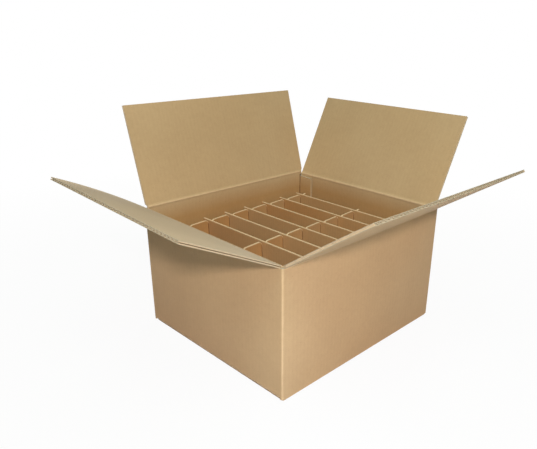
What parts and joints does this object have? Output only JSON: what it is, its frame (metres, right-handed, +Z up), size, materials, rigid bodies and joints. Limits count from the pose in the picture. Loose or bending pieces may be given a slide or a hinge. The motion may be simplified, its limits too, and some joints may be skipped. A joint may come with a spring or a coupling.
{
  "type": "bottle shipping box",
  "caption": "Open corrugated carton with hinged top flaps and an interlocking slotted partition that keeps bottles apart.",
  "frame": {"origin": "middle of the underside, on the seam of the long bottom flaps", "axes": "+X along the box's length, +Y from the front wall to the back wall, +Z up"},
  "size_m": [0.6384, 0.5547, 0.4022],
  "materials": {
    "carton_board": "plain kraft liner, matt",
    "divider_board": "plain kraft liner, matt"
  },
  "bodies": {
    "carton": {"carton_body": "carton_board", "long_divider_front": "divider_board", "long_divider_middle": "divider_board", "long_divider_back": "divider_board", "cross_divider_1": "divider_board", "cross_divider_2": "divider_board", "cross_divider_3": "divider_board", "cross_divider_4": "divider_board", "cross_divider_5": "divider_board", "cross_divider_6": "divider_board", "cross_divider_7": "divider_board", "cross_divider_8": "divider_board"},
    "front_flap": {"front_flap": "carton_board"},
    "back_flap": {"back_flap": "carton_board"},
    "left_flap": {"left_flap": "carton_board"},
    "right_flap": {"right_flap": "carton_board"}
  },
  "joints": [
    {"name": "front_flap_fold", "type": "hinge", "parent": "carton", "child": "front_flap", "pos_m": [0, -0.1785, 0.2295], "axis": [-1, 0, 0], "range_deg": [-114.2, 147.8]},
    {"name": "back_flap_fold", "type": "hinge", "parent": "carton", "child": "back_flap", "pos_m": [0, 0.1785, 0.2295], "axis": [1, 0, 0], "range_deg": [-156.6, 105.4]},
    {"name": "left_flap_fold", "type": "hinge", "parent": "carton", "child": "left_flap", "pos_m": [-0.2, 0, 0.2248], "axis": [0, 1, 0], "range_deg": [-109.2, 152.8]},
    {"name": "right_flap_fold", "type": "hinge", "parent": "carton", "child": "right_flap", "pos_m": [0.2, 0, 0.2248], "axis": [0, -1, 0], "range_deg": [-145.2, 116.8]}
  ]
}
